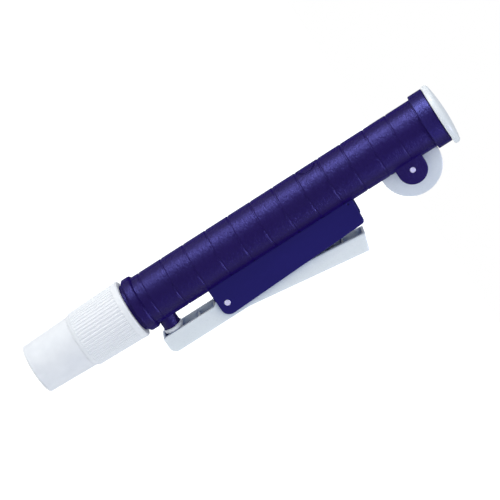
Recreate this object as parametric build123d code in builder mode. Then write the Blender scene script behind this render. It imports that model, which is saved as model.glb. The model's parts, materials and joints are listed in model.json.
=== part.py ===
"""Thumbwheel pipette pump with a quick-release lever, as separate pieces.

Millimetres. +Z runs along the barrel from the nose to the plunger cap, +X points to the
thumbwheel and the lever, and the origin is the centre of the nose's mouth.
"""
from build123d import *
import math
import os

# --- driving dimensions -----------------------------------------------------------------
groove_pitch = 9.9
tube_r = 10.0
bore_r = 7.8
stroke = 45.0
cylinder_r = 3.8
tube_top_z = 171.3
nut_bottom_z = 19.9
nut_top_z = 43.0
flange_top_z = 27.0
thread_pitch = 3.0
vent_z = 51.6
wheel_x = 11.1
wheel_z = 158.9
wheel_r = 12.0
wheel_width = 3.3
gear_module = 0.8
pinion_teeth = 12
pressure_angle = math.radians(25)
pivot_x = 16.2
pivot_z = 74.2
lever_width = 8.7
lever_wall = 1.1
spring_z = 116.0
saddle_bottom_z = 70.7
saddle_top_z = 134.0

# --- clearances, how far a cutter runs past a face, and when two heights count as one -----
running = 0.06
sliding = 0.1
loose = 0.2
backlash = 0.1
press_gap = 0.03
past = 1.0
near = 0.01

# --- worked-out sizes -------------------------------------------------------------------
tooth_pitch = math.pi * gear_module
pitch_r = gear_module * pinion_teeth / 2
addendum = 0.9 * gear_module
dedendum = 1.15 * gear_module
base_r = pitch_r * math.cos(pressure_angle)
tip_r = pitch_r + addendum
root_r = pitch_r - dedendum
rack_x = wheel_x - pitch_r
ear_r = 5.75
ear_inner_y = 4.6
ear_outer_y = 6.4
axle_r = 1.15
pin_r = 1.25
cheek_outer_y = 6.1
cheek_inner_y = 4.6
saddle_floor_x = 11.0
lever_half = lever_width / 2
channel_half = lever_half - lever_wall
boss_r = 3.45
boss_end_x = 13.75
lever_edge_x = 15.4
lever_back_x = 22.85
sleeve_r = 5.2
sleeve_bottom_z = 47.2
sleeve_top_z = 106.0
seal_bottom_z = 46.0
piston_bottom_z = 54.0
piston_top_z = 60.5
rod_bottom_z = 107.0
rod_top_z = 177.3
rod_r = bore_r - sliding
stem_r = 2.2
spigot_r = 8.0
nut_bore_r = 8.75
thread_height = 0.55
thread_start_z = 29.5
thread_turns = 3
collar_top_z = 177.1
collar_socket_top_z = 175.5
collar_socket_r = 9.0


def cylinder_between(start, end, radius):
    """A free cylinder from one point to another, for adding or cutting."""
    plane = Plane(origin=start, z_dir=Vector(end) - Vector(start))
    length = (Vector(end) - Vector(start)).length
    base_at_start = (Align.CENTER, Align.CENTER, Align.MIN)
    return plane * Cylinder(radius, length, align=base_at_start, mode=Mode.PRIVATE)


def helical_ridge(radius, start_z, direction):
    """A trapezoid ridge wound on a cylinder, outward for +1 or inward for -1."""
    root_half = 0.7
    crest_half = 0.35
    buried = 0.1
    with BuildPart() as ridge:
        with BuildLine() as path:
            Helix(thread_pitch, thread_pitch * thread_turns, radius, center=(0, 0, start_z))
        start = Plane(origin=path.line @ 0, x_dir=(direction, 0, 0), z_dir=path.line % 0)
        with BuildSketch(start):
            with BuildLine():
                Polyline(
                    (-buried, -root_half),
                    (thread_height, -crest_half),
                    (thread_height, crest_half),
                    (-buried, root_half),
                    close=True,
                )
            make_face()
        sweep(path=path.line, is_frenet=True)
    return ridge.part


def save(builder, name):
    """Label a finished piece and write it as its own STEP file."""
    builder.part.label = name
    export_step(builder.part, f"parts/{name}.step")


os.makedirs("parts", exist_ok=True)

# --- barrel: spigot, neck, bead, grooved tube, vent boss and wheel ears ------------------
bead_bottom_z = 44.3
bead_top_z = 48.4
bead_r = 11.0
bead_edge = 1.0
neck_r = 9.65
first_groove_z = 51.9
groove_count = 12
groove_depth = 0.2
groove_cutter_r = 0.6
mark_z = 126.15
mark_mid_r = 3.9
mark_width = 0.9
mark_depth = 0.3
bore_floor_z = 58.0
passage_r = 2.0
vent_r = 1.0
ear_root_x = 7.0
ear_edge = 0.3

# A shallow ring pressed in the tube's back, as deep at its sides as along its middle.
with BuildPart() as ring_mark:
    with BuildSketch(Plane.YZ.offset(-tube_r - past)):
        with Locations((0, mark_z)):
            Circle(mark_mid_r + mark_width / 2)
            Circle(mark_mid_r - mark_width / 2, mode=Mode.SUBTRACT)
    extrude(amount=tube_r / 2 + past)
    with BuildSketch(Plane.XY.offset(mark_z - 2 * mark_mid_r)):
        Circle(tube_r - mark_depth)
    extrude(amount=4 * mark_mid_r, mode=Mode.SUBTRACT)

with BuildPart() as barrel:
    with BuildSketch(Plane.XZ) as outside:
        with BuildLine():
            Polyline(
                (0, flange_top_z),
                (spigot_r, flange_top_z),
                (spigot_r, nut_top_z + sliding),
                (neck_r, nut_top_z + sliding),
                (neck_r, bead_bottom_z),
                (bead_r, bead_bottom_z),
                (bead_r, bead_top_z),
                (tube_r, bead_top_z),
                (tube_r, tube_top_z),
                (collar_socket_r, tube_top_z),
                (collar_socket_r, collar_socket_top_z),
                (0, collar_socket_top_z),
                close=True,
            )
        make_face()
        fillet(outside.vertices().sort_by(Axis.X)[-2:], radius=bead_edge)
    revolve(axis=Axis.Z)
    with BuildSketch(Plane.XZ):
        groove_zs = [first_groove_z + groove_pitch * k for k in range(groove_count)]
        with Locations(*[(tube_r + groove_cutter_r - groove_depth, z) for z in groove_zs]):
            Circle(groove_cutter_r)
    revolve(axis=Axis.Z, mode=Mode.SUBTRACT)
    add(ring_mark.part, mode=Mode.SUBTRACT)
    with BuildSketch(Plane.YZ.offset(spigot_r)):
        with Locations((0, vent_z)):
            Circle(boss_r)
    extrude(amount=boss_end_x - spigot_r)
    with BuildSketch(Plane.XZ.offset(ear_inner_y)):
        with Locations((wheel_x, wheel_z)):
            Circle(ear_r)
            Rectangle(wheel_x - ear_root_x, 2 * ear_r, align=(Align.MAX, Align.CENTER))
    ear = extrude(amount=ear_outer_y - ear_inner_y)
    mirror(ear, about=Plane.XZ)
    ear_rims = barrel.edges().filter_by(
        lambda edge: abs(abs(edge.center().Y) - ear_outer_y) < near and edge.center().X > tube_r
    )
    fillet(ear_rims.filter_by(GeomType.CIRCLE), radius=ear_edge)
    with BuildSketch(Plane.XY.offset(bore_floor_z)):
        Circle(bore_r)
    extrude(amount=collar_socket_top_z - bore_floor_z, mode=Mode.SUBTRACT)
    with BuildSketch(Plane.XY.offset(seal_bottom_z)):
        Circle(sleeve_r)
    extrude(amount=bore_floor_z - seal_bottom_z, mode=Mode.SUBTRACT)
    with BuildSketch(Plane.XY.offset(flange_top_z)):
        Circle(passage_r)
    extrude(amount=seal_bottom_z - flange_top_z, mode=Mode.SUBTRACT)
    add(cylinder_between((0, 0, vent_z), (boss_end_x, 0, vent_z), vent_r), mode=Mode.SUBTRACT)
    disc_half = wheel_width / 2 + 1.5 * loose
    add(
        cylinder_between(
            (wheel_x, -disc_half, wheel_z), (wheel_x, disc_half, wheel_z), wheel_r + 3 * loose
        ),
        mode=Mode.SUBTRACT,
    )
    add(
        cylinder_between(
            (wheel_x, -ear_inner_y, wheel_z), (wheel_x, ear_inner_y, wheel_z), tip_r + loose
        ),
        mode=Mode.SUBTRACT,
    )
    add(
        cylinder_between(
            (wheel_x, -ear_outer_y, wheel_z), (wheel_x, ear_outer_y, wheel_z), axle_r
        ),
        mode=Mode.SUBTRACT,
    )
    add(helical_ridge(spigot_r, thread_start_z, 1))
save(barrel, "barrel")

# --- end collar pressed on the barrel's top -----------------------------------------------
collar_r = 11.15
collar_edge = 0.4

with BuildPart() as end_collar:
    with BuildSketch(Plane.XZ) as collar_section:
        with BuildLine():
            Polyline(
                (collar_socket_r, tube_top_z),
                (collar_r, tube_top_z),
                (collar_r, collar_top_z),
                (bore_r, collar_top_z),
                (bore_r, collar_socket_top_z),
                (collar_socket_r, collar_socket_top_z),
                close=True,
            )
        make_face()
        fillet(collar_section.vertices().sort_by(Axis.X)[-2:], radius=collar_edge)
    revolve(axis=Axis.Z)
save(end_collar, "end_collar")

# --- cylinder sleeve: the smooth liner that the piston runs in ----------------------------
sleeve_flange_r = bore_r - press_gap
sleeve_flange_bottom_z = 104.0
sleeve_outer_r = sleeve_r - press_gap

with BuildPart() as cylinder_sleeve:
    with BuildSketch(Plane.XZ):
        with BuildLine():
            Polyline(
                (cylinder_r, sleeve_bottom_z),
                (sleeve_outer_r, sleeve_bottom_z),
                (sleeve_outer_r, sleeve_flange_bottom_z),
                (sleeve_flange_r, sleeve_flange_bottom_z),
                (sleeve_flange_r, sleeve_top_z),
                (cylinder_r, sleeve_top_z),
                close=True,
            )
        make_face()
    revolve(axis=Axis.Z)
    add(cylinder_between((0, 0, vent_z), (sleeve_r, 0, vent_z), vent_r), mode=Mode.SUBTRACT)
save(cylinder_sleeve, "cylinder_sleeve")

# --- sleeve seal: the flat rubber ring under the sleeve -----------------------------------
seal_bore_r = 2.4

with BuildPart() as sleeve_seal:
    with BuildSketch(Plane.XY.offset(seal_bottom_z)):
        Circle(sleeve_outer_r)
        Circle(seal_bore_r, mode=Mode.SUBTRACT)
    extrude(amount=sleeve_bottom_z - seal_bottom_z)
save(sleeve_seal, "sleeve_seal")

# --- lever saddle: two cheeks and a floor that hug the barrel ------------------------------
saddle_root_x = 6.0
cheek_edge_bottom_x = 21.2
cheek_edge_top_x = 18.5
cheek_top_slant = 0.4
pivot_corner_r = 3.3
top_corner_r = 1.5
cheek_rim = 0.3
channel_reach = 20.0
saddle_peg_r = 1.9
saddle_peg_height = 2.0
dimple_x = 8.9
dimple_z = 132.0
dimple_r = 0.45
dimple_depth = 0.3

with BuildPart() as lever_saddle:
    with BuildSketch(Plane.XZ.offset(-cheek_outer_y)) as cheek:
        with BuildLine():
            Polyline(
                (saddle_root_x, saddle_bottom_z),
                (cheek_edge_bottom_x, saddle_bottom_z),
                (cheek_edge_top_x, saddle_top_z - cheek_top_slant),
                (saddle_root_x, saddle_top_z + cheek_top_slant),
                close=True,
            )
        make_face()
        fillet(cheek.vertices().sort_by(Axis.X)[-1], radius=pivot_corner_r)
        fillet(cheek.vertices().group_by(Axis.Y)[-2], radius=top_corner_r)
    extrude(amount=2 * cheek_outer_y)
    cheek_rims = lever_saddle.edges().filter_by(Axis.Y, reverse=True)
    outer_rims = cheek_rims.filter_by(lambda edge: edge.center().X > saddle_root_x + past)
    fillet(outer_rims, radius=cheek_rim)
    saddle_length = saddle_top_z - saddle_bottom_z + 2 * past
    with BuildSketch(Plane.XZ.offset(-cheek_inner_y)):
        with Locations((saddle_floor_x, saddle_bottom_z - past)):
            Rectangle(channel_reach, saddle_length, align=(Align.MIN, Align.MIN))
    extrude(amount=2 * cheek_inner_y, mode=Mode.SUBTRACT)
    with BuildSketch(Plane.XY.offset(saddle_bottom_z - past)):
        Circle(tube_r)
    extrude(amount=saddle_length, mode=Mode.SUBTRACT)
    with BuildSketch(Plane.YZ.offset(saddle_floor_x)):
        with Locations((0, spring_z)):
            Circle(saddle_peg_r)
    extrude(amount=saddle_peg_height)
    for side in (-1, 1):
        dimple_floor = (dimple_x, side * (cheek_outer_y - dimple_depth), dimple_z)
        dimple_mouth = (dimple_x, side * (cheek_outer_y + past), dimple_z)
        add(cylinder_between(dimple_floor, dimple_mouth, dimple_r), mode=Mode.SUBTRACT)
    add(
        cylinder_between(
            (pivot_x, -cheek_outer_y, pivot_z), (pivot_x, cheek_outer_y, pivot_z), pin_r
        ),
        mode=Mode.SUBTRACT,
    )
save(lever_saddle, "lever_saddle")

# --- axle and pivot pin --------------------------------------------------------------------
pin_chamfer = 0.15

with BuildPart() as wheel_axle:
    with BuildSketch(Plane.XZ.offset(-ear_outer_y)):
        with Locations((wheel_x, wheel_z)):
            Circle(axle_r)
    extrude(amount=2 * ear_outer_y)
    chamfer(wheel_axle.edges(), length=pin_chamfer)
save(wheel_axle, "wheel_axle")

with BuildPart() as lever_pin:
    with BuildSketch(Plane.XZ.offset(-cheek_outer_y)):
        with Locations((pivot_x, pivot_z)):
            Circle(pin_r)
    extrude(amount=2 * cheek_outer_y)
    chamfer(lever_pin.edges(), length=pin_chamfer)
save(lever_pin, "lever_pin")

# --- chuck nut: tapered, ribbed outside and threaded inside --------------------------------
rib_count = 52
rib_height = 0.25
rib_bottom_z = 21.5
rib_top_z = 40.4
rib_bottom_r = 11.3
rib_top_r = 11.75
nut_rim_r = 11.9
nut_rim_edge = 0.5
nut_nose_r = 10.6
lip_r = 7.45
lip_top_z = 23.0


def ribbed_outline(radius):
    """Points of a closed outline with evenly spaced ribs around a circle."""
    rib_angle = 2 * math.pi / rib_count
    points = []
    for index in range(rib_count):
        for share, height in ((0.0, 0), (0.3, 0), (0.5, 1), (0.8, 1)):
            angle = (index + share) * rib_angle
            reach = radius - rib_height * (1 - height)
            points.append((reach * math.cos(angle), reach * math.sin(angle)))
    return points


with BuildPart() as chuck_nut:
    for height, radius in ((rib_bottom_z, rib_bottom_r), (rib_top_z, rib_top_r)):
        with BuildSketch(Plane.XY.offset(height)):
            with BuildLine():
                Polyline(*ribbed_outline(radius), close=True)
            make_face()
    loft(ruled=True)
    with BuildSketch(Plane.XZ):
        with BuildLine():
            Polyline(
                (0, nut_bottom_z),
                (nut_nose_r, nut_bottom_z),
                (rib_bottom_r, rib_bottom_z),
                (0, rib_bottom_z),
                close=True,
            )
        make_face()
        with BuildLine():
            Polyline(
                (0, rib_top_z),
                (rib_top_r, rib_top_z),
                (nut_rim_r, nut_top_z - nut_rim_edge),
                (nut_rim_r - nut_rim_edge, nut_top_z),
                (0, nut_top_z),
                close=True,
            )
        make_face()
    revolve(axis=Axis.Z)
    with BuildSketch(Plane.XY.offset(nut_bottom_z)):
        Circle(lip_r)
    extrude(amount=lip_top_z - nut_bottom_z, mode=Mode.SUBTRACT)
    with BuildSketch(Plane.XY.offset(lip_top_z)):
        Circle(nut_bore_r)
    extrude(amount=nut_top_z - lip_top_z, mode=Mode.SUBTRACT)
    add(helical_ridge(nut_bore_r, thread_start_z + thread_pitch / 2, -1))
save(chuck_nut, "chuck_nut")

# --- slip washer between the nut's lip and the chuck's flange -------------------------------
washer_top_z = 23.8

with BuildPart() as slip_washer:
    with BuildSketch(Plane.XY.offset(lip_top_z)):
        Circle(nut_bore_r - sliding)
        Circle(lip_r + sliding, mode=Mode.SUBTRACT)
    extrude(amount=washer_top_z - lip_top_z)
save(slip_washer, "slip_washer")

# --- soft chuck: the rubber nose that grips the pipette --------------------------------------
nose_tip_r = 9.95
nose_top_r = 10.6
nose_top_z = 19.8
chuck_neck_r = 7.35
flange_bottom_z = 23.85
mouth_r = 6.4
socket_r = 3.5
socket_bottom_z = 10.0
socket_top_z = 22.0
mouth_edge = 0.6

with BuildPart() as soft_chuck:
    with BuildSketch(Plane.XZ) as chuck_section:
        with BuildLine():
            Polyline(
                (mouth_r, 0),
                (nose_tip_r, 0),
                (nose_top_r, nose_top_z),
                (chuck_neck_r, nose_top_z),
                (chuck_neck_r, flange_bottom_z),
                (nut_bore_r - sliding, flange_bottom_z),
                (nut_bore_r - sliding, flange_top_z),
                (passage_r, flange_top_z),
                (passage_r, socket_top_z),
                (socket_r, socket_top_z),
                (socket_r, socket_bottom_z),
                close=True,
            )
        make_face()
        fillet(chuck_section.vertices().group_by(Axis.Y)[0], radius=mouth_edge)
    revolve(axis=Axis.Z)
save(soft_chuck, "soft_chuck")

# --- plunger rod: thin stem below, twin-rack carriage above -----------------------------------
gap_half = tooth_pitch / 4 + backlash / 2
tip_half = gap_half + addendum * math.tan(pressure_angle)
root_half = gap_half - dedendum * math.tan(pressure_angle)
lowest_gap = -19
highest_gap = 2
rack_top_z = wheel_z + 9.0
rod_peg_r = 1.3
rod_peg_length = 3.2
cap_offset_x = 0.7
cap_socket_r = 2.5
cap_socket_depth = 4.6
slot_half = wheel_width / 2 + loose
mouth_x = rack_x + addendum + loose
mouth_half = tip_half + loose * math.tan(pressure_angle)

with BuildPart() as plunger_rod:
    with BuildSketch(Plane.XY.offset(piston_top_z - rod_peg_length)):
        Circle(rod_peg_r)
    extrude(amount=rod_peg_length)
    with BuildSketch(Plane.XY.offset(piston_top_z)):
        Circle(stem_r)
    extrude(amount=rod_bottom_z - piston_top_z)
    with BuildSketch(Plane.XY.offset(rod_bottom_z)):
        Circle(rod_r)
    extrude(amount=rod_top_z - rod_bottom_z)
    with BuildSketch(Plane.XZ.offset(-rod_r)):
        with Locations((rack_x + addendum, rod_bottom_z)):
            Rectangle(rod_r, rack_top_z - rod_bottom_z, align=(Align.MIN, Align.MIN))
    extrude(amount=2 * rod_r, mode=Mode.SUBTRACT)
    with BuildSketch(Plane.XZ.offset(-rod_r)):
        for gap in range(lowest_gap, highest_gap + 1):
            gap_z = wheel_z + gap * tooth_pitch
            with BuildLine():
                Polyline(
                    (rack_x - dedendum, gap_z - root_half),
                    (mouth_x, gap_z - mouth_half),
                    (mouth_x, gap_z + mouth_half),
                    (rack_x - dedendum, gap_z + root_half),
                    close=True,
                )
            make_face()
    extrude(amount=2 * rod_r, mode=Mode.SUBTRACT)
    with BuildSketch(Plane.XZ.offset(-slot_half)):
        with Locations((wheel_x, wheel_z - stroke / 2)):
            SlotCenterToCenter(stroke, 2 * (wheel_r + 2 * loose), rotation=90)
    extrude(amount=2 * slot_half, mode=Mode.SUBTRACT)
    with BuildSketch(Plane.XY.offset(rod_top_z - cap_socket_depth)):
        with Locations((cap_offset_x, 0)):
            Circle(cap_socket_r)
    extrude(amount=cap_socket_depth, mode=Mode.SUBTRACT)
save(plunger_rod, "plunger_rod")

# --- piston head and its two rubber rings ------------------------------------------------------
ring_cord_r = 0.55
ring_zs = (55.9, 58.6)
ring_groove_r = 2.65
ring_groove_width = 1.3
ring_gap = 0.01
ring_centre_r = cylinder_r - ring_gap - ring_cord_r

with BuildPart() as piston_head:
    with BuildSketch(Plane.XY.offset(piston_bottom_z)):
        Circle(cylinder_r - running)
    extrude(amount=piston_top_z - piston_bottom_z)
    for ring_z in ring_zs:
        with BuildSketch(Plane.XY.offset(ring_z - ring_groove_width / 2)):
            Circle(cylinder_r)
            Circle(ring_groove_r, mode=Mode.SUBTRACT)
        extrude(amount=ring_groove_width, mode=Mode.SUBTRACT)
    with BuildSketch(Plane.XY.offset(piston_top_z - rod_peg_length)):
        Circle(rod_peg_r)
    extrude(amount=rod_peg_length, mode=Mode.SUBTRACT)
save(piston_head, "piston_head")

for ring_name, ring_z in zip(("lower_piston_ring", "upper_piston_ring"), ring_zs):
    with BuildPart() as piston_ring:
        with BuildSketch(Plane.XZ):
            with Locations((ring_centre_r, ring_z)):
                Circle(ring_cord_r)
        revolve(axis=Axis.Z)
    save(piston_ring, ring_name)

# --- plunger cap: domed disc on a short plug ----------------------------------------------------
cap_r = 12.25
cap_crown = 0.9
lower_edge = 0.6
upper_edge = 1.4
rim_bottom_z = rod_top_z + lower_edge
rim_top_z = rod_top_z + 1.1
crown_rim_r = cap_r - upper_edge
crown_rim_z = rim_top_z + upper_edge
crown_r = (crown_rim_r**2 + cap_crown**2) / (2 * cap_crown)
crown_angle = math.degrees(math.asin(crown_rim_r / crown_r))
plug_length = 4.4
diagonal = math.sqrt(0.5)

with BuildPart() as plunger_cap:
    cap_plane = Plane(origin=(cap_offset_x, 0, 0), x_dir=(1, 0, 0), z_dir=(0, -1, 0))
    with BuildSketch(cap_plane):
        with BuildLine():
            Polyline(
                (0, crown_rim_z + cap_crown),
                (0, rod_top_z - plug_length),
                (cap_socket_r, rod_top_z - plug_length),
                (cap_socket_r, rod_top_z),
                (cap_r - lower_edge, rod_top_z),
            )
            ThreePointArc(
                (cap_r - lower_edge, rod_top_z),
                (cap_r - lower_edge * (1 - diagonal), rim_bottom_z - lower_edge * diagonal),
                (cap_r, rim_bottom_z),
            )
            Line((cap_r, rim_bottom_z), (cap_r, rim_top_z))
            ThreePointArc(
                (cap_r, rim_top_z),
                (crown_rim_r + upper_edge * diagonal, rim_top_z + upper_edge * diagonal),
                (crown_rim_r, crown_rim_z),
            )
            CenterArc((0, crown_rim_z + cap_crown - crown_r), crown_r, 90 - crown_angle, crown_angle)
        make_face()
    revolve(axis=Axis((cap_offset_x, 0, 0), (0, 0, 1)))
save(plunger_cap, "plunger_cap")

# --- thumbwheel: one disc with a pinion on each side ---------------------------------------------
flank_steps = 4
grip_count = 60
grip_cutter_r = 0.45
grip_depth = 0.18
wheel_edge = 0.4


def involute(radius):
    """The involute function at a radius on the pinion's flank."""
    angle = math.acos(min(1.0, base_r / radius))
    return math.tan(angle) - angle


def pinion_outline():
    """Points of the pinion's outline in (x, z), one tooth pointing at the rack."""
    half_at_pitch = (tooth_pitch / 2 - backlash) / (2 * pitch_r)
    half_at_base = half_at_pitch + involute(pitch_r)
    radii = [base_r + (tip_r - base_r) * step / flank_steps for step in range(flank_steps + 1)]
    flank = [(root_r, half_at_base)]
    flank += [(radius, half_at_base - involute(radius)) for radius in radii]
    points = []
    for tooth in range(pinion_teeth):
        centre = math.pi + 2 * math.pi * tooth / pinion_teeth
        angles = [(radius, centre - half) for radius, half in flank]
        angles += [(radius, centre + half) for radius, half in reversed(flank)]
        points += [
            (wheel_x + radius * math.cos(angle), wheel_z + radius * math.sin(angle))
            for radius, angle in angles
        ]
    return points


pinion_half = ear_inner_y - loose

with BuildPart() as thumbwheel:
    with BuildSketch(Plane.XZ.offset(-wheel_width / 2)):
        with Locations((wheel_x, wheel_z)):
            Circle(wheel_r)
    extrude(amount=wheel_width)
    fillet(thumbwheel.edges(), radius=wheel_edge)
    with BuildSketch(Plane.XZ.offset(-wheel_width / 2)):
        with Locations((wheel_x, wheel_z)):
            with PolarLocations(wheel_r + grip_cutter_r - grip_depth, grip_count):
                Circle(grip_cutter_r)
    extrude(amount=wheel_width, mode=Mode.SUBTRACT)
    with BuildSketch(Plane.XZ.offset(-pinion_half)):
        with BuildLine():
            Polyline(*pinion_outline(), close=True)
        make_face()
    extrude(amount=2 * pinion_half)
    add(
        cylinder_between(
            (wheel_x, -pinion_half, wheel_z), (wheel_x, pinion_half, wheel_z), axle_r + running
        ),
        mode=Mode.SUBTRACT,
    )
save(thumbwheel, "thumbwheel")

# --- release lever: a bent channel, open towards the barrel ---------------------------------------
lever_bottom_z = 46.1
bend_z = 80.0
heel_x = 16.0
heel_z = 46.9
lug_r = 3.2
lug_start_z = 69.0
lug_slope = 3.0
arm_edge_start_x = 16.5
arm_edge_end_x = 22.6
arm_edge_end_z = 131.3
arm_back_end_x = 29.6
arm_back_end_z = 129.0
rib_zs = (62.0, 69.0, 122.0)
rib_edge_xs = (16.2, 15.8, 22.3)
rib_thickness = 0.8
bottom_corner_r = 2.75
back_tip_r = 0.6
edge_tip_r = 0.4
back_rim = 0.5
bite = 0.3
channel_mouth_x = lever_edge_x - 5.0
lever_peg_r = 1.0
lever_peg_height = 1.5


def back_x(height):
    """The outside face of the lever's web at a height."""
    slope = (arm_back_end_x - lever_back_x) / (arm_back_end_z - bend_z)
    return lever_back_x + max(0.0, height - bend_z) * slope


with BuildPart() as release_lever:
    with BuildSketch(Plane.XZ.offset(-lever_half)) as side:
        with BuildLine():
            Polyline(
                (heel_x, lever_bottom_z),
                (lever_back_x, lever_bottom_z),
                (lever_back_x, bend_z),
                (arm_back_end_x, arm_back_end_z),
                (arm_edge_end_x, arm_edge_end_z),
                (arm_edge_start_x, bend_z),
                (pivot_x - lug_r, pivot_z),
                (pivot_x - lug_r, lug_start_z + lug_slope),
                (lever_edge_x, lug_start_z),
                (lever_edge_x, heel_z),
                close=True,
            )
        make_face()
        fillet(side.vertices().group_by(Axis.Y)[0].sort_by(Axis.X)[-1], radius=bottom_corner_r)
        fillet(side.vertices().sort_by(Axis.X)[-1], radius=back_tip_r)
        fillet(side.vertices().sort_by(Axis.Y)[-1], radius=edge_tip_r)
    extrude(amount=2 * lever_half)
    back_rims = release_lever.edges().filter_by(Axis.Y, reverse=True).filter_by(
        lambda edge: edge.center().X > lever_back_x - 1.5 * past
        and edge.center().Z < arm_back_end_z + past / 2
    )
    fillet(back_rims, radius=back_rim)
    with BuildSketch(Plane.XZ.offset(-channel_half)):
        with BuildLine():
            Polyline(
                (channel_mouth_x, lever_bottom_z + lever_wall),
                (lever_back_x - lever_wall, lever_bottom_z + lever_wall),
                (lever_back_x - lever_wall, bend_z),
                (arm_back_end_x - lever_wall, arm_back_end_z - lever_wall),
                (arm_edge_end_x, arm_edge_end_z - lever_wall),
                (channel_mouth_x, arm_edge_end_z - lever_wall),
                close=True,
            )
        make_face()
    extrude(amount=2 * channel_half, mode=Mode.SUBTRACT)
    for rib_z, rib_edge_x in zip(rib_zs, rib_edge_xs):
        with BuildSketch(Plane.XZ.offset(-lever_half + bite)):
            with Locations((rib_edge_x, rib_z)):
                rib_depth = back_x(rib_z) - rib_edge_x - bite
                Rectangle(rib_depth, rib_thickness, align=(Align.MIN, Align.CENTER))
        extrude(amount=2 * (lever_half - bite))
    with BuildSketch(Plane.YZ.offset(back_x(spring_z) - lever_wall - lever_peg_height)):
        with Locations((0, spring_z)):
            Circle(lever_peg_r)
    extrude(amount=lever_peg_height + bite)
    add(
        cylinder_between(
            (pivot_x, -lever_half, pivot_z), (pivot_x, lever_half, pivot_z), pin_r + running
        ),
        mode=Mode.SUBTRACT,
    )
save(release_lever, "release_lever")

# --- valve pad: the soft button that closes the vent ------------------------------------------------
pad_r = 3.9
pad_stem_r = channel_half - sliding
pad_edge = 0.3
pad_stem_start_x = lever_edge_x - 0.5

with BuildPart() as valve_pad:
    with BuildSketch(Plane.YZ.offset(boss_end_x)):
        with Locations((0, vent_z)):
            Circle(pad_r)
    extrude(amount=lever_edge_x - boss_end_x)
    fillet(valve_pad.edges(), radius=pad_edge)
    with BuildSketch(Plane.YZ.offset(pad_stem_start_x)):
        with Locations((0, vent_z)):
            Circle(pad_stem_r)
    extrude(amount=lever_back_x - lever_wall - pad_stem_start_x)
save(valve_pad, "valve_pad")

# --- lever spring: a coil between the saddle's floor and the lever's web ------------------------------
wire_r = 0.3
coil_r = 2.35
coil_turns = 7
coil_gap = 0.05
coil_end_gap = 0.45

with BuildPart() as lever_spring:
    coil_start_x = saddle_floor_x + wire_r + coil_gap
    coil_end_x = back_x(spring_z) - lever_wall - wire_r - coil_end_gap
    coil_length = coil_end_x - coil_start_x
    with BuildLine() as coil_path:
        Helix(
            coil_length / coil_turns,
            coil_length,
            coil_r,
            center=(coil_start_x, 0, spring_z),
            direction=(1, 0, 0),
        )
    with BuildSketch(Plane(origin=coil_path.line @ 0, z_dir=coil_path.line % 0)):
        Circle(wire_r)
    sweep(path=coil_path.line, is_frenet=True)
save(lever_spring, "lever_spring")
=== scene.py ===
"""Looks for the thumbwheel pipette pump: materials, soft pieces, light and camera."""
import json
import math

import bmesh
import bpy
from mathutils import Matrix, Vector


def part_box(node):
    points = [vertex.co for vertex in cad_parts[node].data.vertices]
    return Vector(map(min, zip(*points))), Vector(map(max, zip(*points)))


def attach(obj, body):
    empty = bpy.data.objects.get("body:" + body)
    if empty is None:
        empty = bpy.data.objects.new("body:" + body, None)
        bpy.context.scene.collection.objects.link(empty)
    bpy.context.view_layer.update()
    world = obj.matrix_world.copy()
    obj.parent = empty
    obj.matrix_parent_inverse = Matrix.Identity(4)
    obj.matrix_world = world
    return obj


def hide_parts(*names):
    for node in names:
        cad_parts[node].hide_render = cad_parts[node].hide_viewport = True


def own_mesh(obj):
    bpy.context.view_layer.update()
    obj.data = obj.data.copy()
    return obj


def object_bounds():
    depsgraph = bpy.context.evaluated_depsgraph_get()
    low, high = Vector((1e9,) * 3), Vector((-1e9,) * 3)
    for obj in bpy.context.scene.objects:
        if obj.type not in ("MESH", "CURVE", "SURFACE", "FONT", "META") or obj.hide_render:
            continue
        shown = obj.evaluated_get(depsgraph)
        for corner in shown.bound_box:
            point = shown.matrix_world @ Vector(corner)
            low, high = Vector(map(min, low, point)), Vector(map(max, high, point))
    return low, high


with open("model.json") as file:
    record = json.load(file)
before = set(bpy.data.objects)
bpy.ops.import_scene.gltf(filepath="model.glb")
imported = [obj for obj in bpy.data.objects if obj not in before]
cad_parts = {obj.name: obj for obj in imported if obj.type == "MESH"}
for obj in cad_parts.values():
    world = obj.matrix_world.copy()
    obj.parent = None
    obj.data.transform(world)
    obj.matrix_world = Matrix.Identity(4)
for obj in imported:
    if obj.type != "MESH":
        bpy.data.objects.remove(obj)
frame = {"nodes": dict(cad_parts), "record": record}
cad_low, cad_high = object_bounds()

MM = 0.001
X, Y, Z = Vector((1, 0, 0)), Vector((0, 1, 0)), Vector((0, 0, 1))
nodes = frame["nodes"]
mounts = {mount["name"]: mount for mount in frame["record"]["mounts"]}


# --- material building ------------------------------------------------------------------

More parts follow.
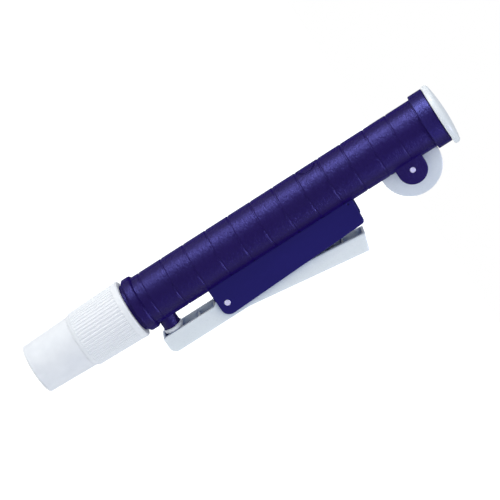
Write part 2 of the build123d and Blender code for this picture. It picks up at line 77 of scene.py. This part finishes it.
class Shader:
    """A material's node tree with short calls to add and join nodes."""

    def __init__(self, name):
        self.material = bpy.data.materials.new(name)
        self.material.use_nodes = True
        self.tree = self.material.node_tree
        self.tree.nodes.clear()
        self.output = self.tree.nodes.new("ShaderNodeOutputMaterial")
        self.surface = self.tree.nodes.new("ShaderNodeBsdfPrincipled")
        self.join(self.surface.outputs["BSDF"], self.output.inputs["Surface"])
        coordinates = self.tree.nodes.new("ShaderNodeTexCoord")
        self.place = coordinates.outputs["Object"]

    def join(self, source, target):
        """Links an output socket to an input socket."""
        self.tree.links.new(source, target)

    def feed(self, value, socket):
        """Joins a socket, or sets a plain value."""
        if isinstance(value, bpy.types.NodeSocket):
            self.join(value, socket)
        else:
            socket.default_value = value

    def stretched(self, scale):
        """The object's coordinates, scaled per axis; a small scale draws marks out along it."""
        mapping = self.tree.nodes.new("ShaderNodeMapping")
        mapping.inputs["Scale"].default_value = scale
        self.join(self.place, mapping.inputs["Vector"])
        return mapping.outputs["Vector"]

    def noise(self, size, detail=2.0, roughness=0.5, place=None):
        """Noise whose blobs are about size across, in metres."""
        node = self.tree.nodes.new("ShaderNodeTexNoise")
        node.inputs["Scale"].default_value = 1.0 / size
        node.inputs["Detail"].default_value = detail
        node.inputs["Roughness"].default_value = roughness
        self.join(place or self.place, node.inputs["Vector"])
        return node.outputs["Fac"]

    def spots(self, size):
        """Distance to scattered points about size apart, in cell units."""
        node = self.tree.nodes.new("ShaderNodeTexVoronoi")
        node.inputs["Scale"].default_value = 1.0 / size
        self.join(self.place, node.inputs["Vector"])
        return node.outputs["Distance"]

    def remap(self, value, low, high, to_low=0.0, to_high=1.0):
        """The value's span from low to high spread over to_low to to_high, and clamped."""
        node = self.tree.nodes.new("ShaderNodeMapRange")
        self.feed(value, node.inputs["Value"])
        for name, number in (
            ("From Min", low),
            ("From Max", high),
            ("To Min", to_low),
            ("To Max", to_high),
        ):
            node.inputs[name].default_value = number
        return node.outputs["Result"]

    def maths(self, kind, first, second):
        """One sum, such as ADD or MULTIPLY, on two values."""
        node = self.tree.nodes.new("ShaderNodeMath")
        node.operation = kind
        self.feed(first, node.inputs[0])
        self.feed(second, node.inputs[1])
        return node.outputs["Value"]

    def mix(self, share, first, second):
        """A colour that goes from first to second as share goes from 0 to 1."""
        node = self.tree.nodes.new("ShaderNodeMix")
        node.data_type = "RGBA"
        self.feed(share, node.inputs["Factor"])
        self.feed(first, node.inputs["A"])
        self.feed(second, node.inputs["B"])
        return node.outputs["Result"]

    def soft_normal(self, radius):
        """The surface normal with its edges rounded over radius."""
        node = self.tree.nodes.new("ShaderNodeBevel")
        node.samples = 6
        node.inputs["Radius"].default_value = radius
        return node.outputs["Normal"]

    def edges(self, rounded):
        """1 along sharp edges and 0 on the faces between them."""
        geometry = self.tree.nodes.new("ShaderNodeNewGeometry")
        dot = self.tree.nodes.new("ShaderNodeVectorMath")
        dot.operation = "DOT_PRODUCT"
        self.join(rounded, dot.inputs[0])
        self.join(geometry.outputs["Normal"], dot.inputs[1])
        return self.remap(dot.outputs["Value"], 0.985, 0.86)

    def crevices(self, distance):
        """1 in the open, falling to 0 deep in a corner or a channel."""
        node = self.tree.nodes.new("ShaderNodeAmbientOcclusion")
        node.samples = 6
        node.inputs["Distance"].default_value = distance
        return node.outputs["AO"]

    def turned_away(self):
        """0 where the surface faces the eye, rising to 1 at its outline."""
        node = self.tree.nodes.new("ShaderNodeLayerWeight")
        node.inputs["Blend"].default_value = 0.5
        return node.outputs["Facing"]

    def bump(self, height, depth, normal=None):
        """A normal tilted by a height map whose full range is depth, in metres."""
        node = self.tree.nodes.new("ShaderNodeBump")
        node.inputs["Distance"].default_value = depth
        self.join(height, node.inputs["Height"])
        if normal is not None:
            self.join(normal, node.inputs["Normal"])
        return node.outputs["Normal"]


def shade(colour, factor):
    """The colour made brighter or darker, opaque."""
    return tuple(min(1.0, channel * factor) for channel in colour) + (1.0,)


# Marks that every moulded plastic shares, among them the patches along its edges of rubbed plastic
# and painted edge light, then where its painted rim light and gloss change towards the outline, and
# the span of its painted shade in corners.
FLOW_SIZE = 14 * MM
SCUFF_SIZE = 0.5 * MM
EDGE_WEAR_AND_LIGHT_SIZE = 1.5 * MM
SWELL_SIZE = 3 * MM
SWELL_DEPTH = 0.02 * MM
FLOW_RUN = (1.0, 1.0, 0.3)
SCUFF_RUN = (1.0, 1.0, 0.06)
RIM_SPAN = (0.36, 0.68)
GLOSS_SPAN = (0.26, 0.56)
EDGE_GLOSS = 0.06
SHADOW_SPAN = (0.4, 1.0)


def plastic(
    name,
    colour,
    grain=0.35,
    grain_depth=0.02,
    grain_run=(1.0, 1.0, 1.0),
    rough=(0.35, 0.5),
    specular=0.5,
    tint=(1, 1, 1, 1),
    mottle=0.08,
    edge_wear_and_light=1.25,
    bevel=0.25,
    glow=0.0,
    glow_radius=1.0,
    rim=None,
    shadow=None,
    shadow_reach=6.0,
):
    """Moulded plastic: grain, flow marks, fine scuffs and edges partly rubbed, partly painted light
    and shade.

    grain, grain_depth, bevel, glow_radius and shadow_reach are in millimetres. edge_wear_and_light
    is the brightness of the edges against the faces, partly rubbed plastic and partly painted
    light: a painted highlight along the edges above 1 and painted shade along them below 1. glow is
    the share of light that scatters inside, rim the painted rim light towards the outline and
    shadow the painted shadow colour deep in corners.
    """
    s = Shader(name)
    fine = s.noise(grain * MM, detail=3.0, roughness=0.65, place=s.stretched(grain_run))
    flow = s.noise(FLOW_SIZE, detail=3.0, place=s.stretched(FLOW_RUN))
    scuff = s.noise(SCUFF_SIZE, detail=2.0, place=s.stretched(SCUFF_RUN))
    rounded = s.soft_normal(bevel * MM)
    body = s.mix(s.remap(flow, 0.3, 0.7), shade(colour, 1 - mottle), shade(colour, 1 + mottle))
    body = s.mix(s.remap(fine, 0.35, 0.75, 0.0, 0.35), body, shade(colour, 1 + 2 * mottle))
    # Edges lighter or darker than the faces, in patches: partly rubbed plastic, partly painted
    # light, a painted highlight where they are brightened and painted shade where they are
    # darkened.
    edge_wear_and_light_mask = s.maths("MULTIPLY", s.edges(rounded), s.remap(s.noise(EDGE_WEAR_AND_LIGHT_SIZE), 0.35, 0.65, 0.2, 0.8))
    body = s.mix(edge_wear_and_light_mask, body, shade(colour, edge_wear_and_light))
    # Painted rim light: towards the outline the colour moves to the rim colour.
    if rim:
        body = s.mix(s.remap(s.turned_away(), *RIM_SPAN), body, rim + (1.0,))
    if shadow:
        body = s.mix(s.remap(s.crevices(shadow_reach * MM), *SHADOW_SPAN), shadow + (1.0,), body)
    s.feed(body, s.surface.inputs["Base Color"])
    polish = s.maths("ADD", s.remap(fine, 0.3, 0.7, *rough), s.remap(scuff, 0.55, 0.75, 0.0, 0.08))
    s.feed(polish, s.surface.inputs["Roughness"])
    gloss = s.remap(s.turned_away(), *GLOSS_SPAN, specular, EDGE_GLOSS * specular)
    s.feed(gloss, s.surface.inputs["Specular IOR Level"])
    s.feed(tint, s.surface.inputs["Specular Tint"])
    s.feed(glow, s.surface.inputs["Subsurface Weight"])
    s.feed((glow_radius * MM,) * 3, s.surface.inputs["Subsurface Radius"])
    s.feed(1.0, s.surface.inputs["Subsurface Scale"])
    relief = s.bump(fine, grain_depth * MM, rounded)
    s.feed(s.bump(s.noise(SWELL_SIZE, detail=1.0), SWELL_DEPTH, relief), s.surface.inputs["Normal"])
    return s.material


def rubber(name, colour, rough=0.6, sheen=0.2, glow=0.0):
    """Soft rubber: matt, with a dusty sheen, tiny pits and faint handling marks."""
    pit_size, pit_depth, mark_size = 0.5 * MM, 0.008 * MM, 6 * MM
    edge_radius, glow_radius = 0.3 * MM, 1.2 * MM
    s = Shader(name)
    pits = s.spots(pit_size)
    marks = s.noise(mark_size, detail=4.0, roughness=0.6)
    body = s.mix(s.remap(marks, 0.35, 0.7), shade(colour, 0.96), shade(colour, 1.03))
    s.feed(body, s.surface.inputs["Base Color"])
    s.feed(s.remap(marks, 0.3, 0.7, rough - 0.08, rough + 0.08), s.surface.inputs["Roughness"])
    s.feed(0.35, s.surface.inputs["Specular IOR Level"])
    s.feed(sheen, s.surface.inputs["Sheen Weight"])
    s.feed(glow, s.surface.inputs["Subsurface Weight"])
    s.feed((glow_radius,) * 3, s.surface.inputs["Subsurface Radius"])
    s.feed(1.0, s.surface.inputs["Subsurface Scale"])
    relief = s.bump(pits, pit_depth, s.soft_normal(edge_radius))
    s.feed(relief, s.surface.inputs["Normal"])
    return s.material


def metal(name, colour, rough, run):
    """Bright metal with fine tool lines, drawn out along the axis that run makes small."""
    line_size, line_depth, tarnish_size, edge_radius = 0.08 * MM, 0.004 * MM, 2 * MM, 0.1 * MM
    s = Shader(name)
    lines = s.noise(line_size, detail=2.0, place=s.stretched(run))
    tarnish = s.noise(tarnish_size, detail=3.0)
    body = s.mix(s.remap(tarnish, 0.4, 0.7), shade(colour, 1.0), shade(colour, 0.88))
    s.feed(body, s.surface.inputs["Base Color"])
    s.feed(1.0, s.surface.inputs["Metallic"])
    s.feed(s.remap(lines, 0.3, 0.7, rough, rough + 0.15), s.surface.inputs["Roughness"])
    relief = s.bump(lines, line_depth, s.soft_normal(edge_radius))
    s.feed(relief, s.surface.inputs["Normal"])
    return s.material


blue_body = plastic(
    "blue_grained_plastic",
    (0.0088, 0.0006, 0.059),
    grain=0.55,
    grain_depth=0.26,
    grain_run=(0.4, 0.4, 1.0),
    rough=(0.32, 0.5),
    specular=0.6,
    tint=(0.31, 0.27, 1.0, 1.0),
    mottle=0.16,
    # Painted rim light: lighter and bluer towards the outline.
    rim=(0.0125, 0.004, 0.115),
)
blue_collar = plastic(
    "blue_collar_plastic",
    (0.0086, 0.0006, 0.066),
    grain=0.55,
    grain_depth=0.2,
    grain_run=(0.4, 0.4, 1.0),
    rough=(0.34, 0.46),
    specular=0.85,
    tint=(0.31, 0.29, 1.0, 1.0),
    mottle=0.16,
    # Painted rim light: lighter and bluer towards the outline.
    rim=(0.0125, 0.006, 0.11),
)
blue_smooth = plastic(
    "blue_satin_plastic",
    (0.0127, 0.0086, 0.113),
    shadow=(0.0076, 0.0034, 0.05),
    shadow_reach=9.0,
    grain=0.8,
    grain_depth=0.008,
    rough=(0.3, 0.4),
    specular=0.36,
    tint=(0.34, 0.33, 1.0, 1.0),
    # Edges much brighter than the faces: a painted highlight along the saddle's cheek edges.
    edge_wear_and_light=2.4,
    bevel=0.7,
)
white_hard = plastic(
    "white_moulded_plastic",
    (0.9, 0.91, 0.94),
    grain=0.5,
    grain_depth=0.003,
    edge_wear_and_light=0.97,
    mottle=0.015,
    glow=0.45,
    specular=0.4,
)
white_cap = plastic(
    "white_cap_plastic",
    (0.82, 0.85, 0.875),
    grain=0.5,
    grain_depth=0.003,
    # Edges a little brighter than the faces: partly rubbed plastic, partly a painted highlight.
    edge_wear_and_light=1.06,
    mottle=0.015,
    glow=0.45,
    specular=0.4,
)
pale_lever = plastic(
    "pale_lever_plastic",
    (0.86, 0.91, 0.945),
    shadow=(0.33, 0.4, 0.6),
    shadow_reach=5.0,
    grain=0.6,
    grain_depth=0.005,
    rough=(0.25, 0.36),
    edge_wear_and_light=1.03,
    mottle=0.03,
    glow=0.4,
    glow_radius=1.6,
)
pale_wheel = plastic(
    "pale_wheel_plastic",
    (0.77, 0.81, 0.875),
    shadow=(0.69, 0.73, 0.84),
    shadow_reach=4.0,
    grain=0.9,
    grain_depth=0.02,
    rough=(0.25, 0.4),
    # Edges darker than the faces: painted shade along the wheel's rims.
    edge_wear_and_light=0.82,
    bevel=0.5,
    mottle=0.05,
    glow=0.5,
    glow_radius=1.6,
)
nose_rubber = rubber("white_nose_rubber", (0.9, 0.91, 0.94), glow=0.4)
seal_rubber = rubber("black_seal_rubber", (0.02, 0.02, 0.022), sheen=0.1)
pad_silicone = rubber("milky_silicone", (0.8, 0.82, 0.86), rough=0.45, glow=0.5)
pin_metal = metal("bright_pin_metal", (0.9, 0.88, 0.93), 0.5, (1.0, 0.1, 1.0))
spring_steel = metal("drawn_spring_steel", (0.62, 0.62, 0.64), 0.22, (0.2, 1.0, 1.0))

SLOT_MATERIALS = {
    "body_blue": blue_body,
    "saddle_blue": blue_smooth,
    "white_plastic": white_hard,
    "pale_plastic": pale_lever,
    "nose_rubber": nose_rubber,
    "seal_rubber": seal_rubber,
    "pad_silicone": pad_silicone,
    "pin_metal": pin_metal,
    "spring_steel": spring_steel,
}

NODE_MATERIALS = {
    "thumbwheel": pale_wheel,
    "end_collar": blue_collar,
    "plunger_cap": white_cap,
}


def dress_cad_nodes():
    """Gives every CAD node its own material, or else that of its slot in the record."""
    for part in frame["record"]["subparts"]:
        mesh = nodes[part["node"]].data
        mesh.materials.clear()
        slot_finish = SLOT_MATERIALS[part["material_slot"]]
        mesh.materials.append(NODE_MATERIALS.get(part["node"], slot_finish))


dress_cad_nodes()


# --- soft pieces and the spring -----------------------------------------------------------

def piece_from(name, vertices, faces, material, smooth=True):
    """A new object from points and faces, with its normals facing out."""
    mesh = bpy.data.meshes.new(name)
    mesh.from_pydata(vertices, [], faces)
    mesh.validate()
    shell = bmesh.new()
    shell.from_mesh(mesh)
    bmesh.ops.recalc_face_normals(shell, faces=shell.faces)
    shell.to_mesh(mesh)
    shell.free()
    mesh.materials.append(material)
    for polygon in mesh.polygons:
        polygon.use_smooth = smooth
    made = bpy.data.objects.new(name, mesh)
    bpy.context.scene.collection.objects.link(made)
    return made


def ring_surface(rings, closed):
    """Vertices and faces of a skin over equal rings of points, looped round or capped."""
    count = len(rings[0])
    vertices = [point for ring in rings for point in ring]
    faces = []
    for row in range(len(rings) if closed else len(rings) - 1):
        upper = (row + 1) % len(rings)
        for column in range(count):
            after = (column + 1) % count
            faces.append(
                (
                    row * count + column,
                    row * count + after,
                    upper * count + after,
                    upper * count + column,
                )
            )
    if not closed:
        faces.append(tuple(range(count)))
        faces.append(tuple(range(len(vertices) - count, len(vertices))))
    return vertices, faces


def softened(corners, closed, steps=6):
    """An outline through (radius, height, softness) corners, each rounded by its softness."""
    outline = []
    last = len(corners) - 1
    for index, (radius, height, softness) in enumerate(corners):
        corner = Vector((radius, height))
        if softness == 0 or (not closed and index in (0, last)):
            outline.append(corner)
            continue
        before = Vector(corners[index - 1][:2]) - corner
        after = Vector(corners[(index + 1) % len(corners)][:2]) - corner
        start = corner + before.normalized() * softness
        end = corner + after.normalized() * softness
        for step in range(steps + 1):
            share = step / steps
            outline.append(start.lerp(corner, share).lerp(corner.lerp(end, share), share))
    return outline


def spaced(outline, gap, closed):
    """The outline with its long runs cut into pieces no longer than gap."""
    points = []
    pairs = zip(outline, outline[1:] + outline[:1]) if closed else zip(outline, outline[1:])
    for start, end in pairs:
        cuts = max(1, math.ceil((end - start).length / gap))
        points.extend(start.lerp(end, cut / cuts) for cut in range(cuts))
    return points if closed else points + [outline[-1]]


def lathe(name, outline, closed, centre, axes, segments, material, relief):
    """A piece turned about the last of axes; relief(radius, height, angle) adds to its radius."""
    across, upright, axis = axes
    rings = []
    for radius, height in outline:
        ring = []
        for segment in range(segments):
            angle = math.tau * segment / segments
            reach = radius + relief(radius, height, angle)
            spoke = across * math.cos(angle) + upright * math.sin(angle)
            ring.append(centre + (spoke * reach + axis * height) * MM)
        rings.append(ring)
    return piece_from(name, *ring_surface(rings, closed), material)


def make_soft_chuck():
    """The rubber nose: rounded lips, a fluted flare and grip rings round the pipette socket."""
    mouth_r, neck_r, flange_r, passage_r = 6.4, 7.35, 8.65, 2.0
    taper = 0.65
    touch, clear = 0.02, 0.05
    grip_height, grip_pitch, grip_start, grip_end = 0.14, 2.4, 1.0, 0.8
    flutes, flute_height, flare_start, flare_length = 12, 0.2, 1.2, 7.8
    low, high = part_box("soft_chuck")
    socket = mounts["pipette_socket"]
    socket_r = socket["dims"]["r_mm"]
    socket_half = socket["dims"]["length_mm"] / 2
    socket_low = socket["pos_m"][2] / MM - socket_half
    socket_high = socket["pos_m"][2] / MM + socket_half
    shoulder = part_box("chuck_nut")[0].z / MM - touch
    flange_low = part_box("slip_washer")[1].z / MM + clear
    top = high.z / MM
    wide = high.x / MM
    corners = [
        (mouth_r, 0.0, 0.7),
        (wide - taper, 0.0, 0.5),
        (wide, shoulder, 0.2),
        (neck_r, shoulder, 0.3),
        (neck_r, flange_low, 0.3),
        (flange_r, flange_low, 0.2),
        (flange_r, top, 0.4),
        (passage_r, top, 0.4),
        (passage_r, socket_high, 0.4),
        (socket_r, socket_high, 0.3),
        (socket_r, socket_low, 1.0),
    ]

    def relief(radius, height, angle):
        """Grip rings in the socket, flutes in the flare below it and nothing outside."""
        if radius > (mouth_r + neck_r) / 2 or height > socket_high - grip_end:
            return 0.0
        above = height - socket_low - grip_start
        if above > 0:
            return grip_height * max(0.0, math.sin(math.tau * above / grip_pitch)) ** 2
        share = min(1.0, max(0.0, (height - flare_start) / flare_length))
        return flute_height * math.sin(math.pi * share) ** 2 * math.cos(flutes * angle)

    outline = spaced(softened(corners, True), 0.4, True)
    centre = Vector((0, 0, low.z))
    nose = lathe("soft_nose", outline, True, centre, (X, Y, Z), 144, nose_rubber, relief)
    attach(nose, "chuck")
    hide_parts("soft_chuck")


def make_valve_pad():
    """The silicone button: a soft rim, a dished sealing face and a stem in the lever."""
    dish_r, dish_edge_r, dish_depth = 1.5, 2.1, 0.3
    stem_r, rim_depth = 3.15, 1.65
    centre_r = 0.05
    low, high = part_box("valve_pad")
    centre = Vector((low.x, (low.y + high.y) / 2, (low.z + high.z) / 2))
    rim_r = (high.y - low.y) / 2 / MM
    depth = (high.x - low.x) / MM
    corners = [
        (centre_r, dish_depth, 0),
        (dish_r, dish_depth, 0.5),
        (dish_edge_r, 0.0, 0.4),
        (rim_r, 0.0, 0.5),
        (rim_r, rim_depth, 0.5),
        (stem_r, rim_depth, 0.2),
        (stem_r, depth, 0.5),
        (centre_r, depth, 0),
    ]

    def plain(radius, height, angle):
        """No relief: the pad is round all over."""
        return 0.0

    outline = spaced(softened(corners, False), 0.35, False)
    pad = lathe("soft_pad", outline, False, centre, (Y, Z, X), 72, pad_silicone, plain)
    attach(pad, "lever")
    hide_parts("valve_pad")


def make_lever_spring():
    """A coil of round wire with closed ends."""
    wire_r = 0.3 * MM
    closed_turns, opening_turns = 0.8, 0.5
    low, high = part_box("lever_spring")
    coil_r = (high.y - low.y) / 2 - wire_r
    centre_z = (low.z + high.z) / 2
    turns, steps, sides = 8, 40, 14
    end_pitch = 2.06 * wire_r
    length = high.x - low.x - 2 * wire_r

    def openness(turn):
        """0 in the closed end turns and 1 between them."""
        inward = min(turn, turns - turn)
        share = min(1.0, max(0.0, (inward - closed_turns) / opening_turns))
        return share * share * (3 - 2 * share)

    samples = [openness((step + 0.5) / steps) for step in range(turns * steps)]
    closed_length = end_pitch * sum(1 - sample for sample in samples)
    middle_pitch = (length * steps - closed_length) / sum(samples)
    rings = []
    advance = low.x + wire_r
    for step in range(turns * steps + 1):
        angle = math.tau * step / steps
        opened = samples[min(step, len(samples) - 1)]
        pitch = end_pitch + (middle_pitch - end_pitch) * opened
        out = Y * math.cos(angle) + Z * math.sin(angle)
        tangent = X * pitch / math.tau + (Z * math.cos(angle) - Y * math.sin(angle)) * coil_r
        across = tangent.normalized().cross(out)
        centre = Vector((advance, 0, centre_z)) + out * coil_r
        rings.append(
            [
                centre + (out * math.cos(turn) + across * math.sin(turn)) * wire_r
                for turn in (math.tau * side_step / sides for side_step in range(sides))
            ]
        )
        advance += pitch / steps
    coil = piece_from("coil_spring", *ring_surface(rings, False), spring_steel)
    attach(coil, "body")
    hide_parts("lever_spring")
    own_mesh(coil)


make_soft_chuck()
make_valve_pad()
make_lever_spring()


# --- light, floor, camera -------------------------------------------------------------------

# Where the camera stands, how it is turned and what it aims at.
VIEW_AZIMUTH = math.radians(-19)
VIEW_TILT = math.radians(6.4)
ROLL = math.radians(32.5)
CAMERA_DISTANCE = 0.985
LENS = 190.8
AIM_HEIGHT = 91.85 * MM
AIM_SIDE = 5.24 * MM

# The studio: metres for its sizes, and the strength of its walls as a fill and in reflections.
LIGHT_DISTANCE = 0.8
LIGHT_LENGTH = 0.9
FILL = 0.84
REFLECTED = 0.11
FLOOR_HALF = 3.0
FLOOR_GAP = 0.2 * MM

back = Vector(
    (
        math.sin(VIEW_AZIMUTH) * math.cos(VIEW_TILT),
        -math.cos(VIEW_AZIMUTH) * math.cos(VIEW_TILT),
        math.sin(VIEW_TILT),
    )
)
side = Vector((math.cos(VIEW_AZIMUTH), math.sin(VIEW_AZIMUTH), 0))
along = back.cross(side)
aim = Vector((0, 0, AIM_HEIGHT)) + side * AIM_SIDE


def turned(x_axis, y_axis, z_axis, location):
    """A placement matrix from its axes and its location."""
    placement = Matrix((x_axis, y_axis, z_axis)).transposed().to_4x4()
    placement.translation = location
    return placement


def make_camera():
    """The camera, turned about its own axis so that the barrel lies across the picture."""
    data = bpy.data.cameras.new("camera")
    data.lens = LENS
    data.clip_start = 0.05
    data.clip_end = 20
    camera = bpy.data.objects.new("camera", data)
    right = side * math.sin(ROLL) + along * math.cos(ROLL)
    up = along * math.sin(ROLL) - side * math.cos(ROLL)
    camera.matrix_world = turned(right, up, back, aim + back * CAMERA_DISTANCE)
    bpy.context.scene.collection.objects.link(camera)
    bpy.context.scene.camera = camera


def softbox(name, direction, width, height, power, colour, sheen=True, wash=True):
    """A rectangular light facing the object, with its width running along the barrel.

    direction is how far it lies towards the camera, to the lever's side and up the barrel.
    sheen lets it show in reflections, and wash lets it light the surface's own colour.
    """
    data = bpy.data.lights.new(name, "AREA")
    data.shape = "RECTANGLE"
    data.size = width
    data.size_y = height
    data.energy = power
    data.color = colour
    light = bpy.data.objects.new(name, data)
    light.visible_diffuse = wash
    light.visible_glossy = sheen
    forward, sideways, upward = direction
    facing = (back * forward + side * sideways + along * upward).normalized()
    first = (Z - facing * facing.z).normalized()
    light.matrix_world = turned(first, facing.cross(first), facing, aim + facing * LIGHT_DISTANCE)
    bpy.context.scene.collection.objects.link(light)


def backdrop(tree, colour, strength):
    """A plain background of the world; gives its shader's output."""
    node = tree.nodes.new("ShaderNodeBackground")
    node.inputs["Color"].default_value = colour
    node.inputs["Strength"].default_value = strength
    return node.outputs["Background"]


def chosen(tree, ray, plain, special):
    """The plain shader, but the special one for a kind of ray."""
    seen = tree.nodes.new("ShaderNodeLightPath")
    node = tree.nodes.new("ShaderNodeMixShader")
    tree.links.new(seen.outputs[ray], node.inputs["Fac"])
    tree.links.new(plain, node.inputs[1])
    tree.links.new(special, node.inputs[2])
    return node.outputs["Shader"]


def make_world():
    """A pale studio: white to the camera, dim in reflections and a soft cool fill otherwise."""
    world = bpy.data.worlds.new("studio")
    bpy.context.scene.world = world
    world.use_nodes = True
    tree = world.node_tree
    tree.nodes.clear()
    fill = backdrop(tree, (0.88, 0.93, 1.0, 1.0), FILL)
    mirrored = backdrop(tree, (0.5, 0.55, 1.0, 1.0), REFLECTED)
    paper = backdrop(tree, (1.0, 1.0, 1.0, 1.0), 1.0)
    lighting = chosen(tree, "Is Glossy Ray", fill, mirrored)
    output = tree.nodes.new("ShaderNodeOutputWorld")
    tree.links.new(chosen(tree, "Is Camera Ray", lighting, paper), output.inputs["Surface"])


def make_floor():
    """A wide matt sheet just below the nose's rim, nearly white to the camera."""
    height = cad_low.z - FLOOR_GAP
    signs = [(-1, -1), (1, -1), (1, 1), (-1, 1)]
    corners = [(across * FLOOR_HALF, deep * FLOOR_HALF, height) for across, deep in signs]
    s = Shader("pale_floor")
    s.feed((0.9, 0.9, 0.9, 1.0), s.surface.inputs["Base Color"])
    s.feed(0.9, s.surface.inputs["Roughness"])
    s.feed(0.0, s.surface.inputs["Specular IOR Level"])
    s.feed((1.0, 1.0, 1.0, 1.0), s.surface.inputs["Emission Color"])
    seen = s.tree.nodes.new("ShaderNodeLightPath")
    lift = s.maths("MULTIPLY", seen.outputs["Is Camera Ray"], 0.7)
    s.feed(lift, s.surface.inputs["Emission Strength"])
    floor = piece_from("floor", corners, [(0, 1, 2, 3)], s.material, smooth=False)


make_camera()
make_world()
make_floor()
softbox("key", (0.42, -0.9, 0), LIGHT_LENGTH, 0.4, 3.0, (1.0, 0.965, 0.87))
softbox("bounce", (0.35, 0.94, 0), LIGHT_LENGTH, 0.4, 0.7, (0.88, 0.94, 1.0), sheen=False)
softbox("sheen", (0.5, -0.866, 0), LIGHT_LENGTH, 0.22, 14.0, (0.8, 0.95, 1.0), wash=False)
softbox("low", (0.5, 0.87, 0), LIGHT_LENGTH, 0.22, 1.3, (0.2, 0.1, 1.0), wash=False)
softbox("window", (0.25, 0.72, 0.65), 0.16, 0.16, 6.5, (0.72, 0.74, 1.0), wash=False)
bpy.context.scene.view_settings.view_transform = "Standard"
